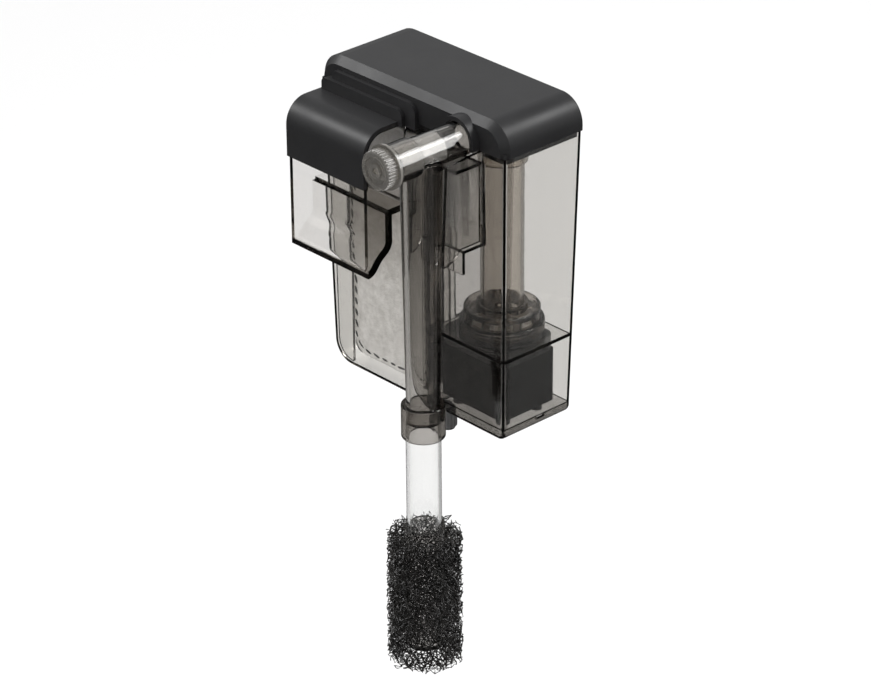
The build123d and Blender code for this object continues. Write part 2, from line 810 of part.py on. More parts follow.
# Motor cap: closes the motor block, and its collar stands up through the roof
with BuildPart() as motor_cap:
    with BuildSketch(Plane.XY.offset(motor_top)):
        with Locations((motor_x, motor_y)):
            RectangleRounded(motor_wide, motor_deep, 5)
    extrude(amount=floor_z - floor_thickness - motor_top)
    with Locations((intake_x, pump_y, motor_top)):
        Cylinder(
            collar_radius,
            housing_top_z - motor_top - 3,
            align=(Align.CENTER, Align.CENTER, Align.MIN),
        )
    with Locations((intake_x, pump_y, motor_top + 3)):
        Cylinder(
            chamber_radius,
            40,
            align=(Align.CENTER, Align.CENTER, Align.MIN),
            mode=Mode.SUBTRACT,
        )
    with Locations((intake_x, pump_y, motor_top)):
        Cylinder(well_radius, 20, mode=Mode.SUBTRACT)
save(motor_cap, "motor_cap")

with BuildPart() as housing_seal:
    with BuildSketch(Plane.XY.offset(floor_z - floor_thickness)):
        with Locations((intake_x, pump_y)):
            Circle(roof_hole_radius)
            Circle(collar_radius, mode=Mode.SUBTRACT)
    extrude(amount=floor_thickness)
save(housing_seal, "housing_seal")

# Impeller housing and its windowed cover, two round steps
housing_radius = 18.5
cover_ring_radius = 16.7
ring_wall = 1.6
with BuildPart() as impeller_housing:
    with BuildSketch(Plane.XY.offset(floor_z)):
        with Locations((intake_x, pump_y)):
            Circle(housing_radius)
            Circle(collar_radius + 0.05, mode=Mode.SUBTRACT)
    extrude(amount=housing_top_z - floor_z)
    outer_edges = impeller_housing.edges().filter_by(GeomType.CIRCLE).sort_by(Axis.Z)
    top_edges = outer_edges.group_by(Axis.Z)[-1].sort_by(SortBy.RADIUS)
    fillet(top_edges[-1], 0.8)
    with Locations((intake_x, pump_y, housing_top_z - 0.6)):
        Cylinder(
            cover_ring_radius + 0.05,
            4,
            align=(Align.CENTER, Align.CENTER, Align.MIN),
            mode=Mode.SUBTRACT,
        )
save(impeller_housing, "impeller_housing")

window_count = 8
window_height = 3.4
inlet_radius = riser_radius - riser_wall
with BuildPart() as impeller_cover:
    with Locations((intake_x, pump_y, housing_top_z - 0.6)):
        Cylinder(
            cover_ring_radius,
            cover_ring_top_z - housing_top_z + 0.6,
            align=(Align.CENTER, Align.CENTER, Align.MIN),
        )
    fillet(impeller_cover.edges().filter_by(GeomType.CIRCLE).sort_by(Axis.Z)[-1], 0.8)
    # socket of the riser, and a moat round it
    with Locations((intake_x, pump_y, cover_ring_top_z - 1.2)):
        Cylinder(
            cover_ring_radius - ring_wall,
            5,
            align=(Align.CENTER, Align.CENTER, Align.MIN),
            mode=Mode.SUBTRACT,
        )
    with Locations((intake_x, pump_y, cover_ring_top_z - 1.2)):
        Cylinder(
            riser_radius + 1.7,
            3.2,
            align=(Align.CENTER, Align.CENTER, Align.MIN),
        )
    with Locations((intake_x, pump_y, cover_ring_top_z)):
        Cylinder(
            riser_radius + 0.02,
            8,
            align=(Align.CENTER, Align.CENTER, Align.MIN),
            mode=Mode.SUBTRACT,
        )
    # room for the impeller
    with Locations((intake_x, pump_y, housing_top_z - 1)):
        Cylinder(
            cover_ring_radius - ring_wall,
            cover_ring_top_z - housing_top_z - 1.7,
            align=(Align.CENTER, Align.CENTER, Align.MIN),
            mode=Mode.SUBTRACT,
        )
    with Locations((intake_x, pump_y, housing_top_z)):
        Cylinder(
            inlet_radius,
            20,
            align=(Align.CENTER, Align.CENTER, Align.MIN),
            mode=Mode.SUBTRACT,
        )
    # spider that holds the upper bush
    with Locations((intake_x, pump_y, cover_ring_top_z - 2.6)):
        with PolarLocations(0, 3):
            Box(
                inlet_radius + 1,
                1.2,
                2.4,
                align=(Align.MIN, Align.CENTER, Align.MIN),
            )
        Cylinder(3.9, 2.4, align=(Align.CENTER, Align.CENTER, Align.MIN))
        Cylinder(
            2.6,
            2.4,
            align=(Align.CENTER, Align.CENTER, Align.MIN),
            mode=Mode.SUBTRACT,
        )
    # outlet windows
    with Locations((intake_x, pump_y, housing_top_z + 0.2)):
        with PolarLocations(cover_ring_radius, window_count):
            Box(
                6,
                9.2,
                window_height,
                align=(Align.CENTER, Align.CENTER, Align.MIN),
                mode=Mode.SUBTRACT,
            )
save(impeller_cover, "impeller_cover")

# Rotor: ceramic shaft in two bushes, magnet and impeller turning on it
shaft_end_z = well_end_z + 0.2
shaft_top_z = cover_ring_top_z - 0.4
impeller_disc_z = -54.0
impeller_top_z = -46.2
impeller_radius = 13.0
magnet_end_z = -82.6
magnet_top_z = -60.6
with BuildPart() as rotor_shaft:
    with Locations((intake_x, pump_y, shaft_end_z)):
        Cylinder(
            shaft_radius,
            shaft_top_z - shaft_end_z,
            align=(Align.CENTER, Align.CENTER, Align.MIN),
        )
    chamfer(rotor_shaft.edges().filter_by(GeomType.CIRCLE), 0.2)
save(rotor_shaft, "rotor_shaft")

with BuildPart() as lower_bush:
    with Locations((intake_x, pump_y, well_end_z)):
        Cylinder(well_radius - 0.02, 3.4, align=(Align.CENTER, Align.CENTER, Align.MIN))
    with Locations((intake_x, pump_y, shaft_end_z)):
        Cylinder(
            shaft_radius,
            10,
            align=(Align.CENTER, Align.CENTER, Align.MIN),
            mode=Mode.SUBTRACT,
        )
save(lower_bush, "lower_bush")

with BuildPart() as upper_bush:
    with Locations((intake_x, pump_y, cover_ring_top_z - 2.6)):
        Cylinder(2.6, 2.4, align=(Align.CENTER, Align.CENTER, Align.MIN))
        Cylinder(
            shaft_radius,
            2.4,
            align=(Align.CENTER, Align.CENTER, Align.MIN),
            mode=Mode.SUBTRACT,
        )
save(upper_bush, "upper_bush")

with BuildPart() as rotor_magnet:
    with Locations((intake_x, pump_y, magnet_end_z)):
        Cylinder(
            magnet_radius,
            magnet_top_z - magnet_end_z,
            align=(Align.CENTER, Align.CENTER, Align.MIN),
        )
    chamfer(rotor_magnet.edges().filter_by(GeomType.CIRCLE), 0.4)
    with Locations((intake_x, pump_y, magnet_end_z)):
        Cylinder(shaft_radius + running_gap, 80, mode=Mode.SUBTRACT)
save(rotor_magnet, "rotor_magnet")

blade_count = 6
with BuildPart() as impeller:
    with Locations((intake_x, pump_y, magnet_top_z)):
        Cylinder(
            4.4,
            impeller_disc_z - magnet_top_z,
            align=(Align.CENTER, Align.CENTER, Align.MIN),
        )
        Cylinder(
            3.2,
            impeller_top_z - magnet_top_z,
            align=(Align.CENTER, Align.CENTER, Align.MIN),
        )
    with Locations((intake_x, pump_y, impeller_disc_z)):
        Cylinder(impeller_radius, 1.4, align=(Align.CENTER, Align.CENTER, Align.MIN))
        with PolarLocations(0, blade_count):
            Box(
                impeller_radius - 0.3,
                1.2,
                impeller_top_z - impeller_disc_z,
                align=(Align.MIN, Align.CENTER, Align.MIN),
            )
    with Locations((intake_x, pump_y, magnet_top_z)):
        Cylinder(shaft_radius + running_gap, 80, mode=Mode.SUBTRACT)
save(impeller, "impeller")

# Filter cartridge: frame, floss in front, carbon behind
cartridge_end_z = -90.0
cartridge_top_z = 34.0
floss_thickness = 2.7
frame_border = 3.5
cartridge_x = (cartridge_left + cartridge_right) / 2
cartridge_wide = cartridge_right - cartridge_left
cartridge_high = cartridge_top_z - cartridge_end_z
cartridge_z = (cartridge_top_z + cartridge_end_z) / 2
frame_front_y = cartridge_front_y + floss_thickness
with BuildPart() as cartridge_frame:
    with BuildSketch(Plane.XZ.offset(-cartridge_back_y)):
        with Locations((cartridge_x, cartridge_z)):
            RectangleRounded(cartridge_wide, cartridge_high, 4)
            Rectangle(
                cartridge_wide - 2 * frame_border,
                cartridge_high - 2 * frame_border,
                mode=Mode.SUBTRACT,
            )
    extrude(amount=cartridge_back_y - frame_front_y)
    # grid across the window, on the floss side
    with BuildSketch(Plane.XZ.offset(-frame_front_y - 1.4)):
        with Locations((cartridge_x, cartridge_z)):
            with GridLocations(0, 29, 1, 3):
                Rectangle(cartridge_wide - 4, 2)
            with GridLocations(15, 0, 2, 1):
                Rectangle(2, cartridge_high - 4)
        # pull tab
        with Locations((cartridge_x - 8, cartridge_top_z - 1)):
            Rectangle(16, 5.5, align=(Align.CENTER, Align.MIN))
    extrude(amount=1.4)
save(cartridge_frame, "cartridge_frame")

with BuildPart() as floss_pad:
    with BuildSketch(Plane.XZ.offset(-frame_front_y)):
        with Locations((cartridge_x, cartridge_z)):
            RectangleRounded(cartridge_wide - 0.4, cartridge_high - 0.4, 4)
    extrude(amount=floss_thickness)
save(floss_pad, "floss_pad")

with BuildPart() as carbon_pack:
    with BuildSketch(Plane.XZ.offset(-cartridge_back_y + 0.4)):
        with Locations((cartridge_x, cartridge_z)):
            Rectangle(
                cartridge_wide - 2 * frame_border - 0.4,
                cartridge_high - 2 * frame_border - 0.4,
            )
    extrude(amount=cartridge_back_y - 0.4 - frame_front_y - 1.5)
save(carbon_pack, "carbon_pack")

# Cord inlet under the pump compartment
gland_radius = 4.2
gland_end_z = -104.4
cord_hole_radius = 1.9
with BuildPart() as cord_gland:
    with Locations((gland_x, gland_y, gland_end_z)):
        Cylinder(
            gland_radius,
            box_bottom_z - gland_end_z,
            align=(Align.CENTER, Align.CENTER, Align.MIN),
        )
    chamfer(cord_gland.edges().filter_by(GeomType.CIRCLE).sort_by(Axis.Z)[0], 0.6)
    with Locations((gland_x, gland_y, gland_end_z)):
        with PolarLocations(gland_radius, 16):
            Cylinder(
                0.45,
                box_bottom_z - gland_end_z - 1.6,
                align=(Align.CENTER, Align.CENTER, Align.MIN),
                mode=Mode.SUBTRACT,
            )
    with Locations((gland_x, gland_y, box_bottom_z)):
        Cylinder(
            gland_hole_radius - 0.02,
            cover_skin + 1.4,
            align=(Align.CENTER, Align.CENTER, Align.MIN),
        )
    with Locations((gland_x, gland_y, box_bottom_z)):
        Cylinder(2.1, 40, mode=Mode.SUBTRACT)
    with Locations((gland_x, gland_y, gland_end_z)):
        Cylinder(
            3.2,
            7,
            align=(Align.CENTER, Align.CENTER, Align.MIN),
            mode=Mode.SUBTRACT,
        )
save(cord_gland, "cord_gland")

with BuildPart() as cord_grommet:
    with Locations((gland_x, gland_y, gland_end_z - 1.0)):
        Cylinder(3.15, 7.8, align=(Align.CENTER, Align.CENTER, Align.MIN))
        Cylinder(cord_hole_radius, 20, mode=Mode.SUBTRACT)
save(cord_grommet, "cord_grommet")
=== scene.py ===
import math

import bmesh
import bpy
import numpy as np
from mathutils import Matrix, Vector, kdtree, noise


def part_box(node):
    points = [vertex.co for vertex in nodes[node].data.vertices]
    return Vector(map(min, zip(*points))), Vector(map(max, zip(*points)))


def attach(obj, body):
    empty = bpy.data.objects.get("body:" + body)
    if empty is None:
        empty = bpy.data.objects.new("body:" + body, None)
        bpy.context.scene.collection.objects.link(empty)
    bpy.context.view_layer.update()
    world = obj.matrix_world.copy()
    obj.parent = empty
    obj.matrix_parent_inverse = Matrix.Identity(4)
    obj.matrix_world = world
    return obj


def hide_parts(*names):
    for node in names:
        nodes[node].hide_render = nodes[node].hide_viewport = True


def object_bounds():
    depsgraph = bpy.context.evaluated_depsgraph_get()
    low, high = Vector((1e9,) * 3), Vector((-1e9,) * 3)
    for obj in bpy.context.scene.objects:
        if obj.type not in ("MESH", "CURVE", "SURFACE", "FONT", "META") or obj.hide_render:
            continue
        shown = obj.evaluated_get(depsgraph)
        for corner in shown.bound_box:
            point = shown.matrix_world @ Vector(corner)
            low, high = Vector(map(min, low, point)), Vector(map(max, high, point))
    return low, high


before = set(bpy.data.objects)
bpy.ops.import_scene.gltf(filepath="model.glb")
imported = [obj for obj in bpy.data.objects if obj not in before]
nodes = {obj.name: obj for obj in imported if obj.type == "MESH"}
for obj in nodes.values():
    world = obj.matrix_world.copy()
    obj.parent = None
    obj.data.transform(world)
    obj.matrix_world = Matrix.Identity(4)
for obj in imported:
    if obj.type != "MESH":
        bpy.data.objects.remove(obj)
cadLow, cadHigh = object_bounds()
print("frame loaded:", len(nodes), "nodes")


camera = {
    "place": (1.1355, -1.0043, 0.7189),
    "azimuth": 47.24,        # the three angles are in degrees
    "elevation": 27.77,
    "roll": -0.44,
    "lens": 154.7,           # in millimetres, as the sensor is
    "sensor": 36.0,
    "reach": 60,
}

floor = {
    "drop": 0.30,            # how far below the object it lies
    "half": 14.0,
    "colour": (0.95, 0.95, 0.95, 1),
    "roughness": 0.9,
    "span": (-0.5, 0.5),     # from here on the left to here on the right of the object,
    "share": (0.3, 1.0),     # each mirroring on a ray's way takes this share of the floor to that one
}

sky = {
    "ground": 0.05,          # gloss mirrors this from below,
    "horizon": 0.50,         # this from the low band all round
    "zenith": 0.06,          # and this from straight above
    "stops": (0.44, 0.60, 0.76, 0.88),
    "backdrop": (0.97, 0.97, 0.97, 1),
    "dimming": 0.4,          # the share of the backdrop that each mirroring on a ray's way takes
}

# each softbox: where it stands, what it looks at, its sides in metres, its power in watts,
# whether gloss mirrors it, and the only pieces it lights, if not all
softboxes = {
    "overhead": {
        "place": (-0.6, 0.6, 3.6), "aim": (-0.6, 0.6, -0.5), "size": (6.5, 6.5), "power": 232,
        "mirrored": False,
    },
    "rightBack": {"place": (0.85, 1.10, 1.25), "aim": (0.03, 0.02, 0), "size": (0.8, 0.5), "power": 9},
    "leftFront": {
        "place": (-1.15, -0.85, 1.10), "aim": (0.03, 0.02, 0), "size": (0.7, 0.6), "power": 9,
        "only": ["lid"],
    },
    "pipeCard": {
        "place": (1.15, 0.95, 0.60), "aim": (0.06, 0, 0.03), "size": (0.9, 1.3), "power": 25,
        "only": ["intake_pipe", "valve_barrel", "flow_knob"],
    },
    "flossCard": {
        "place": (0.10, -1.30, 0.55), "aim": (0.01, 0.01, -0.03), "size": (0.6, 0.6), "power": 12,
        "mirrored": False, "only": ["floss_crown"],
    },
    "foamCard": {
        "place": (0.55, -1.15, 0.45), "aim": (0.06, -0.02, -0.17), "size": (0.5, 0.7), "power": 8,
        "only": ["foam_cells", "strainer"],
    },
    "foamLeft": {
        "place": (-1.06, -0.60, 0.05), "aim": (0.06, -0.02, -0.17), "size": (0.5, 0.9), "power": 18,
        "only": ["foam_cells"],
    },
    "foamRight": {
        "place": (0.58, 1.16, 0.05), "aim": (0.06, -0.02, -0.17), "size": (0.5, 0.9), "power": 18,
        "only": ["foam_cells"],
    },
}


def blankMaterial(name):
    material = bpy.data.materials.new(name)
    material.use_nodes = True
    return material, material.node_tree, material.node_tree.nodes["Principled BSDF"]


def pointCamera():
    azimuth = math.radians(camera["azimuth"])
    elevation = math.radians(camera["elevation"])
    roll = math.radians(camera["roll"])
    back = Vector((
        math.sin(azimuth) * math.cos(elevation),
        -math.cos(azimuth) * math.cos(elevation),
        math.sin(elevation),
    ))
    level = Vector((math.cos(azimuth), math.sin(azimuth), 0))
    upright = back.cross(level)
    right = math.cos(roll) * level + math.sin(roll) * upright
    up = -math.sin(roll) * level + math.cos(roll) * upright
    data = bpy.data.cameras.new("camera")
    data.lens = camera["lens"]
    data.sensor_width = camera["sensor"]
    data.clip_end = camera["reach"]
    eye = bpy.data.objects.new("camera", data)
    turn = Matrix((right, up, back)).transposed().to_4x4()
    eye.matrix_world = Matrix.Translation(camera["place"]) @ turn
    bpy.context.collection.objects.link(eye)
    bpy.context.scene.camera = eye


def addSoftboxes():
    for name, box in softboxes.items():
        data = bpy.data.lights.new(name, "AREA")
        data.shape = "RECTANGLE"
        data.size, data.size_y = box["size"]
        data.energy = box["power"]
        lamp = bpy.data.objects.new(name, data)
        lamp.location = box["place"]
        gaze = Vector(box["aim"]) - Vector(box["place"])
        lamp.rotation_euler = gaze.to_track_quat("-Z", "Y").to_euler()
        lamp.visible_camera = False
        lamp.visible_glossy = box.get("mirrored", True)
        bpy.context.collection.objects.link(lamp)
        if "only" in box:
            lit = bpy.data.collections.new(name + "Lit")
            for member in box["only"]:
                lit.objects.link(nodes.get(member) or bpy.data.objects[member])
            lamp.light_linking.receiver_collection = lit
    print("softboxes ready:", len(softboxes))


def addSky():
    # pale where it is looked at or seen through plastic, darker towards the ground where it is reflected
    world = bpy.data.worlds.new("sky")
    bpy.context.scene.world = world
    world.use_nodes = True
    tree = world.node_tree
    tree.nodes.clear()
    coords = tree.nodes.new("ShaderNodeTexCoord")
    split = tree.nodes.new("ShaderNodeSeparateXYZ")
    tree.links.new(coords.outputs["Generated"], split.inputs[0])
    height = tree.nodes.new("ShaderNodeMapRange")
    height.inputs["From Min"].default_value = -1
    tree.links.new(split.outputs["Z"], height.inputs["Value"])
    ramp = tree.nodes.new("ShaderNodeValToRGB")
    levels = (sky["ground"], sky["horizon"], sky["horizon"], sky["zenith"])
    stops = ramp.color_ramp.elements
    while len(stops) < len(levels):
        stops.new(1.0)
    for stop, place, level in zip(stops, sky["stops"], levels):
        stop.position = place
        stop.color = (level, level, level, 1)
    tree.links.new(height.outputs["Result"], ramp.inputs["Fac"])
    rays = tree.nodes.new("ShaderNodeLightPath")
    through = tree.nodes.new("ShaderNodeMath")
    through.operation = "MAXIMUM"
    tree.links.new(rays.outputs["Is Camera Ray"], through.inputs[0])
    tree.links.new(rays.outputs["Is Transmission Ray"], through.inputs[1])
    seen = tree.nodes.new("ShaderNodeMath")
    seen.operation = "MULTIPLY_ADD"
    seen.use_clamp = True
    seen.inputs[1].default_value = -sky["dimming"]
    tree.links.new(rays.outputs["Glossy Depth"], seen.inputs[0])
    tree.links.new(through.outputs[0], seen.inputs[2])
    pick = tree.nodes.new("ShaderNodeMix")
    pick.data_type = "RGBA"
    pick.inputs["B"].default_value = sky["backdrop"]
    tree.links.new(seen.outputs[0], pick.inputs["Factor"])
    tree.links.new(ramp.outputs["Color"], pick.inputs["A"])
    shade = tree.nodes.new("ShaderNodeBackground")
    tree.links.new(pick.outputs["Result"], shade.inputs["Color"])
    out = tree.nodes.new("ShaderNodeOutputWorld")
    tree.links.new(shade.outputs[0], out.inputs["Surface"])


def paleFloor():
    # it fades where it is seen by way of a mirroring, and fades more towards the right
    material, tree, shader = blankMaterial("paleFloor")
    shader.inputs["Base Color"].default_value = floor["colour"]
    shader.inputs["Roughness"].default_value = floor["roughness"]
    coords = tree.nodes.new("ShaderNodeTexCoord")
    across = tree.nodes.new("ShaderNodeVectorMath")
    across.operation = "DOT_PRODUCT"
    azimuth = math.radians(camera["azimuth"])
    across.inputs[1].default_value = (math.cos(azimuth), math.sin(azimuth), 0)
    tree.links.new(coords.outputs["Object"], across.inputs[0])
    spread = tree.nodes.new("ShaderNodeMapRange")
    spread.inputs["From Min"].default_value, spread.inputs["From Max"].default_value = floor["span"]
    spread.inputs["To Min"].default_value, spread.inputs["To Max"].default_value = floor["share"]
    tree.links.new(across.outputs["Value"], spread.inputs["Value"])
    rays = tree.nodes.new("ShaderNodeLightPath")
    share = tree.nodes.new("ShaderNodeMath")
    share.operation = "MULTIPLY"
    share.use_clamp = True
    tree.links.new(rays.outputs["Glossy Depth"], share.inputs[0])
    tree.links.new(spread.outputs["Result"], share.inputs[1])
    clear = tree.nodes.new("ShaderNodeBsdfTransparent")
    faded = tree.nodes.new("ShaderNodeMixShader")
    tree.links.new(share.outputs[0], faded.inputs["Fac"])
    tree.links.new(shader.outputs["BSDF"], faded.inputs[1])
    tree.links.new(clear.outputs["BSDF"], faded.inputs[2])
    tree.links.new(faded.outputs[0], tree.nodes["Material Output"].inputs["Surface"])
    return material


def addFloor():
    level = cadLow.z - floor["drop"]
    half = floor["half"]
    mesh = bpy.data.meshes.new("floor")
    corners = [(-half, -half, level), (half, -half, level), (half, half, level), (-half, half, level)]
    mesh.from_pydata(corners, [], [(0, 1, 2, 3)])
    sheet = bpy.data.objects.new("floor", mesh)
    bpy.context.collection.objects.link(sheet)
    mesh.materials.append(paleFloor())
    sheet.visible_glossy = False


pointCamera()
addSky()
addFloor()
bpy.context.scene.view_settings.view_transform = "Standard"
print("studio ready")


def newGroup(name, inputs, outputs):
    group = bpy.data.node_groups.new(name, "ShaderNodeTree")
    for label, value in inputs.items():
        socket = group.interface.new_socket(label, in_out="INPUT", socket_type="NodeSocketFloat")
        socket.default_value = value
    for label in outputs:
        group.interface.new_socket(label, in_out="OUTPUT", socket_type="NodeSocketFloat")
    return group, group.nodes.new("NodeGroupInput"), group.nodes.new("NodeGroupOutput")


def objectNoise(tree, scaleSocket, detail, roughness=0.5):
    coords = tree.nodes.new("ShaderNodeTexCoord")
    cloud = tree.nodes.new("ShaderNodeTexNoise")
    cloud.inputs["Detail"].default_value = detail
    cloud.inputs["Roughness"].default_value = roughness
    tree.links.new(coords.outputs["Object"], cloud.inputs["Vector"])
    tree.links.new(scaleSocket, cloud.inputs["Scale"])
    return cloud.outputs["Fac"]


noiseMiddle = (0.3, 0.7)     # most of a noise lies between these


def rangeOf(tree, value, low, high):
    # maps the middle of a noise onto low..high, each a number or a socket
    spread = tree.nodes.new("ShaderNodeMapRange")
    spread.inputs["From Min"].default_value, spread.inputs["From Max"].default_value = noiseMiddle
    tree.links.new(value, spread.inputs["Value"])
    for label, end in (("To Min", low), ("To Max", high)):
        if isinstance(end, bpy.types.NodeSocket):
            tree.links.new(end, spread.inputs[label])
        else:
            spread.inputs[label].default_value = end
    return spread.outputs["Result"]


def makeMouldedSkin():
    # the grain that a mould's steel leaves: a fine spark texture and a slow drift of gloss
    group, given, result = newGroup(
        "mouldedSkin",
        {"Grain Scale": 3000, "Drift Scale": 40, "Gloss": 0.3, "Dull": 0.4},
        ("Height", "Roughness"),
    )
    grain = objectNoise(group, given.outputs["Grain Scale"], 2)
    drift = objectNoise(group, given.outputs["Drift Scale"], 3)
    group.links.new(grain, result.inputs["Height"])
    rough = rangeOf(group, drift, given.outputs["Gloss"], given.outputs["Dull"])
    group.links.new(rough, result.inputs["Roughness"])
    return group


def makeTwoTone():
    # a mask of soft patches broken by finer ones
    group, given, result = newGroup("twoTone", {"Patch Scale": 60, "Speck Scale": 900}, ("Mask",))
    patches = objectNoise(group, given.outputs["Patch Scale"], 4)
    specks = objectNoise(group, given.outputs["Speck Scale"], 3, 0.7)
    even = 0.5               # patches and specks count alike
    half = group.nodes.new("ShaderNodeMath")
    half.operation = "MULTIPLY"
    half.inputs[1].default_value = even
    both = group.nodes.new("ShaderNodeMath")
    both.operation = "MULTIPLY_ADD"
    both.inputs[1].default_value = even
    group.links.new(specks, half.inputs[0])
    group.links.new(patches, both.inputs[0])
    group.links.new(half.outputs[0], both.inputs[2])
    group.links.new(rangeOf(group, both.outputs[0], 0, 1), result.inputs["Mask"])
    return group


mouldedSkin = makeMouldedSkin()
twoTone = makeTwoTone()


def placeGroup(tree, group, **values):
    node = tree.nodes.new("ShaderNodeGroup")
    node.node_tree = group
    for label, value in values.items():
        node.inputs[label.replace("_", " ")].default_value = value
    return node


def roughen(tree, shader, height, strength, distance):
    bump = tree.nodes.new("ShaderNodeBump")
    bump.inputs["Strength"].default_value = strength
    bump.inputs["Distance"].default_value = distance
    tree.links.new(height, bump.inputs["Height"])
    tree.links.new(bump.outputs["Normal"], shader.inputs["Normal"])


def mixColours(tree, mask, first, second):
    mix = tree.nodes.new("ShaderNodeMix")
    mix.data_type = "RGBA"
    mix.inputs["A"].default_value = (*first, 1)
    mix.inputs["B"].default_value = (*second, 1)
    tree.links.new(mask, mix.inputs["Factor"])
    return mix.outputs["Result"]


speckGrains = 3              # a speck of colour is this many grains wide


def solidPlastic(name, look):
    material, tree, shader = blankMaterial(name)
    skin = placeGroup(
        tree, mouldedSkin,
        Grain_Scale=look["grain"], Drift_Scale=look["drift"], Gloss=look["gloss"], Dull=look["dull"],
    )
    tone = placeGroup(tree, twoTone, Patch_Scale=look["drift"], Speck_Scale=look["grain"] / speckGrains)
    colour = mixColours(tree, tone.outputs["Mask"], look["dark"], look["light"])
    tree.links.new(colour, shader.inputs["Base Color"])
    tree.links.new(skin.outputs["Roughness"], shader.inputs["Roughness"])
    shader.inputs["IOR"].default_value = look.get("ior", 1.5)
    shader.inputs["Metallic"].default_value = look.get("metal", 0.0)
    roughen(tree, shader, skin.outputs["Height"], look["bump"], look["depth"])
    return material


def pumpShadeTint(tree, look):
    # painted shade: the front wall's tint is darker where it closes the pump compartment, standing in for the
    # shade that falls inside it
    coords = tree.nodes.new("ShaderNodeTexCoord")
    split = tree.nodes.new("ShaderNodeSeparateXYZ")
    tree.links.new(coords.outputs["Object"], split.inputs[0])
    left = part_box("motor_housing")[0].x
    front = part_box("casing")[0].y
    beside = tree.nodes.new("ShaderNodeMath")
    beside.operation = "GREATER_THAN"
    beside.inputs[1].default_value = left
    near = tree.nodes.new("ShaderNodeMath")
    near.operation = "LESS_THAN"
    near.inputs[1].default_value = front + look["wall"]
    both = tree.nodes.new("ShaderNodeMath")
    both.operation = "MULTIPLY"
    tree.links.new(split.outputs["X"], beside.inputs[0])
    tree.links.new(split.outputs["Y"], near.inputs[0])
    tree.links.new(beside.outputs[0], both.inputs[0])
    tree.links.new(near.outputs[0], both.inputs[1])
    return mixColours(tree, both.outputs[0], look["tint"], look["paintedShade"])


def clearPlastic(name, look):
    # tinted at its skin and through its depth, and lamps shine through it
    material, tree, shader = blankMaterial(name)
    shader.inputs["Base Color"].default_value = (*look["tint"], 1)
    shader.inputs["Transmission Weight"].default_value = look.get("clarity", 1)
    shader.inputs["IOR"].default_value = look["ior"]
    skin = placeGroup(
        tree, mouldedSkin,
        Grain_Scale=look["wave"], Drift_Scale=look["drift"], Gloss=look["gloss"], Dull=look["dull"],
    )
    tree.links.new(skin.outputs["Roughness"], shader.inputs["Roughness"])
    roughen(tree, shader, skin.outputs["Height"], look["bump"], look["depth"])
    # the casing's front wall gets a darker tint there as painted shade
    if "paintedShade" in look:
        tree.links.new(pumpShadeTint(tree, look), shader.inputs["Base Color"])
    lit = tree.nodes.new("ShaderNodeBsdfTransparent")
    lit.inputs["Color"].default_value = (*look["tint"], 1)
    rays = tree.nodes.new("ShaderNodeLightPath")
    choose = tree.nodes.new("ShaderNodeMixShader")
    tree.links.new(rays.outputs["Is Shadow Ray"], choose.inputs["Fac"])
    tree.links.new(shader.outputs["BSDF"], choose.inputs[1])
    tree.links.new(lit.outputs["BSDF"], choose.inputs[2])
    out = tree.nodes["Material Output"]
    tree.links.new(choose.outputs[0], out.inputs["Surface"])
    if "absorb" in look:
        depth = tree.nodes.new("ShaderNodeVolumeAbsorption")
        depth.inputs["Color"].default_value = (*look["stain"], 1)
        depth.inputs["Density"].default_value = look["absorb"]
        tree.links.new(depth.outputs["Volume"], out.inputs["Volume"])
    return material


# tint colours a clear plastic's skin, stain and absorb its depth, and clarity is how much it lets through;
# wave and drift are scales of its unevenness, and gloss and dull the ends of its roughness
clearBase = {"ior": 1.49, "wave": 55, "drift": 30, "gloss": 0.015, "dull": 0.05, "bump": 0.06, "depth": 0.002}

clearLooks = {
    "casingSmoke": {
        **clearBase, "tint": (0.93, 0.925, 0.915), "stain": (0.45, 0.42, 0.37), "absorb": 115,
        # paintedShade is the darker tint painted as shade on the front wall before the pump compartment, and
        # wall is the depth of that zone
        "paintedShade": (0.54, 0.525, 0.51), "wall": 0.0055,
    },
    "spoutSmoke": {**clearBase, "tint": (0.97, 0.965, 0.96), "stain": (0.45, 0.42, 0.38), "absorb": 195},
    "bracketSmoke": {**clearBase, "tint": (0.92, 0.91, 0.895), "stain": (0.42, 0.39, 0.35), "absorb": 120},
    "innerSmoke": {**clearBase, "tint": (0.88, 0.85, 0.81), "stain": (0.40, 0.36, 0.31), "absorb": 140},
    "coverClear": {**clearBase, "tint": (0.62, 0.61, 0.595), "stain": (0.45, 0.43, 0.40), "absorb": 420},
    "pipeSmoke": {**clearBase, "tint": (0.80, 0.79, 0.78), "stain": (0.5, 0.48, 0.45), "absorb": 290},
    "strainerClear": {**clearBase, "tint": (0.74, 0.73, 0.72), "stain": (0.45, 0.43, 0.41), "absorb": 220},
    "tubeClear": {**clearBase, "tint": (0.975, 0.975, 0.97), "stain": (0.5, 0.49, 0.47), "absorb": 18},
    "knobClear": {
        **clearBase, "tint": (0.36, 0.345, 0.32), "stain": (0.5, 0.48, 0.44), "absorb": 130,
        "clarity": 0.6, "gloss": 0.04, "dull": 0.10,
    },
    "barrelMilky": {
        **clearBase, "tint": (0.66, 0.66, 0.65), "clarity": 0.8, "gloss": 0.08, "dull": 0.16,
    },
    "collarSmoke": {**clearBase, "tint": (0.70, 0.685, 0.67), "stain": (0.45, 0.42, 0.38), "absorb": 340},
    "pumpSmoke": {**clearBase, "tint": (0.66, 0.63, 0.60), "stain": (0.40, 0.36, 0.31), "absorb": 260},
}

# dark and light are the ends of a solid finish's colour, grain and drift the scales of its unevenness
plasticBase = {"grain": 2600, "drift": 45, "gloss": 0.36, "dull": 0.44, "bump": 0.12, "depth": 0.0001}

